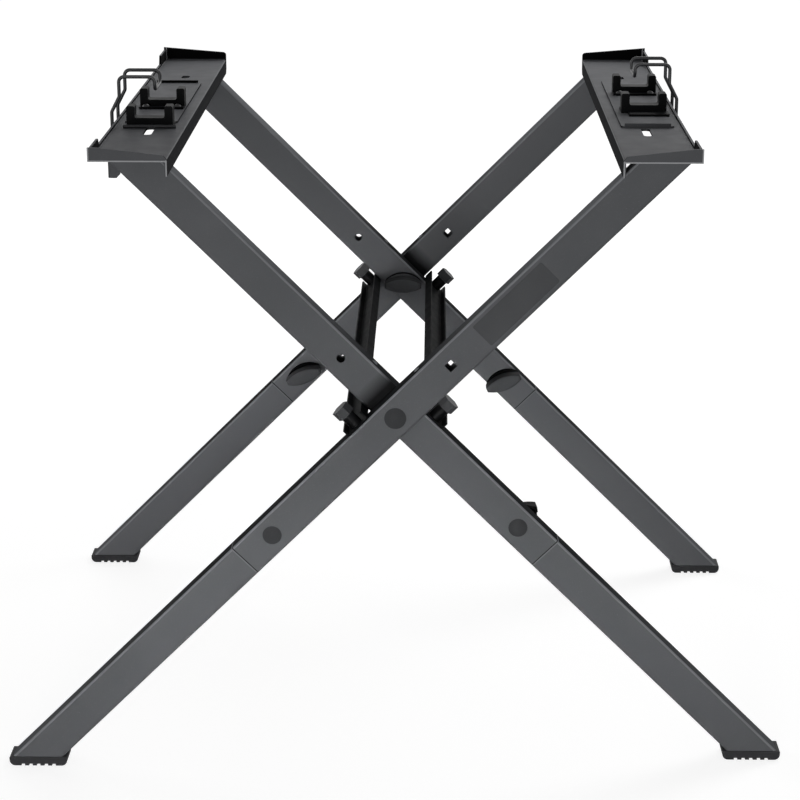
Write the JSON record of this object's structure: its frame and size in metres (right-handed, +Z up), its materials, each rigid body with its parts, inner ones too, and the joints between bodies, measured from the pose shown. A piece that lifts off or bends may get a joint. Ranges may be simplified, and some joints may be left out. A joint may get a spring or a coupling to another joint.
{
  "type": "table saw stand",
  "caption": "Folding X stand of rectangular steel tube with two long trays, U cradles and wire bails for a jobsite table saw.",
  "frame": {"origin": "on the floor, midway between the feet, under the crossing of the legs", "axes": "+X to the right tray as seen from the front, +Y from the front to the back along the trays, +Z up"},
  "size_m": [0.867, 0.6688, 0.746],
  "materials": {
    "frame_paint": "satin anthracite powder coat",
    "tray_paint": "satin grey powder coat on sheet steel",
    "bar_paint": "near-black powder coat on folded sheet",
    "cradle_black": "moulded black nylon",
    "wire_black": "black coated spring wire",
    "fastener_black": "black zinc-plated steel",
    "fastener_zinc": "clear zinc-plated steel",
    "knob_black": "moulded black nylon",
    "foot_rubber": "black moulded rubber"
  },
  "bodies": {
    "frame_outer": {"outer_leg_front": "frame_paint", "outer_leg_rear": "frame_paint", "lower_leg_front_left": "frame_paint", "lower_leg_rear_left": "frame_paint", "leg_spigots_left": "fastener_zinc", "foot_front_left": "foot_rubber", "foot_rear_left": "foot_rubber", "leg_bolts_left": "fastener_black", "knob_washers_left": "fastener_zinc", "edge_rivets_outer": "frame_paint", "crossbar_left": "bar_paint", "crossbar_sleeves_left": "fastener_black", "crossbar_bolts_left": "fastener_black", "crossbar_nuts_left": "fastener_zinc", "tray_right": "tray_paint", "saddle_plate_right": "tray_paint", "cradle_right_front": "cradle_black", "cradle_right_rear": "cradle_black", "cradle_screws_right": "fastener_zinc", "bail_bracket_right": "tray_paint", "pivot_bolts": "fastener_black", "pivot_washers": "fastener_zinc"},
    "frame_inner": {"inner_leg_front": "frame_paint", "inner_leg_rear": "frame_paint", "lower_leg_front_right": "frame_paint", "lower_leg_rear_right": "frame_paint", "leg_spigots_right": "fastener_zinc", "foot_front_right": "foot_rubber", "foot_rear_right": "foot_rubber", "leg_bolts_right": "fastener_black", "knob_washers_right": "fastener_zinc", "edge_rivets_inner": "frame_paint", "crossbar_right": "bar_paint", "crossbar_sleeves_right": "fastener_black", "crossbar_bolts_right": "fastener_black", "crossbar_nuts_right": "fastener_zinc", "tray_left": "tray_paint", "saddle_plate_left": "tray_paint", "cradle_left_front": "cradle_black", "cradle_left_rear": "cradle_black", "cradle_screws_left": "fastener_zinc", "bail_bracket_left": "tray_paint", "pivot_bushes": "fastener_zinc", "tray_tab_left": "frame_paint", "cradle_rod_left": "fastener_black"},
    "bail_right": {"bail_right": "wire_black"},
    "bail_left": {"bail_left": "wire_black"},
    "pivot_knob_front": {"pivot_knob_front": "knob_black", "pivot_knob_nut_front": "fastener_zinc"},
    "leg_knob_front_left": {"leg_knob_front_left": "knob_black", "leg_knob_nut_front_left": "fastener_zinc"},
    "leg_knob_front_right": {"leg_knob_front_right": "knob_black", "leg_knob_nut_front_right": "fastener_zinc"},
    "pivot_knob_rear": {"pivot_knob_rear": "knob_black", "pivot_knob_nut_rear": "fastener_zinc"},
    "leg_knob_rear_left": {"leg_knob_rear_left": "knob_black", "leg_knob_nut_rear_left": "fastener_zinc"},
    "leg_knob_rear_right": {"leg_knob_rear_right": "knob_black", "leg_knob_nut_rear_right": "fastener_zinc"}
  },
  "joints": [
    {"name": "scissor_fold", "type": "hinge", "parent": "frame_outer", "child": "frame_inner", "pos_m": [0, 0, 0.4115], "axis": [0, 1, 0], "range_deg": [0, 75]},
    {"name": "bail_right_swing", "type": "hinge", "parent": "frame_outer", "child": "bail_right", "pos_m": [0.3185, -0.004, 0.6796], "axis": [0, 1, 0], "range_deg": [-6, 170]},
    {"name": "bail_left_swing", "type": "hinge", "parent": "frame_inner", "child": "bail_left", "pos_m": [-0.3185, -0.1, 0.6796], "axis": [0, -1, 0], "range_deg": [-6, 170]},
    {"name": "pivot_knob_front_turn", "type": "hinge", "parent": "frame_outer", "child": "pivot_knob_front", "pos_m": [0, -0.2553, 0.4115], "axis": [0, 1, 0], "continuous": true},
    {"name": "leg_knob_front_left_turn", "type": "hinge", "parent": "frame_outer", "child": "leg_knob_front_left", "pos_m": [-0.13364, -0.282, 0.27786], "axis": [0, 1, 0], "continuous": true},
    {"name": "leg_knob_front_right_turn", "type": "hinge", "parent": "frame_inner", "child": "leg_knob_front_right", "pos_m": [0.13364, -0.2553, 0.27786], "axis": [0, 1, 0], "continuous": true},
    {"name": "pivot_knob_rear_turn", "type": "hinge", "parent": "frame_outer", "child": "pivot_knob_rear", "pos_m": [0, 0.2553, 0.4115], "axis": [0, 1, 0], "continuous": true},
    {"name": "leg_knob_rear_left_turn", "type": "hinge", "parent": "frame_outer", "child": "leg_knob_rear_left", "pos_m": [-0.13364, 0.282, 0.27786], "axis": [0, 1, 0], "continuous": true},
    {"name": "leg_knob_rear_right_turn", "type": "hinge", "parent": "frame_inner", "child": "leg_knob_rear_right", "pos_m": [0.13364, 0.2553, 0.27786], "axis": [0, 1, 0], "continuous": true}
  ]
}
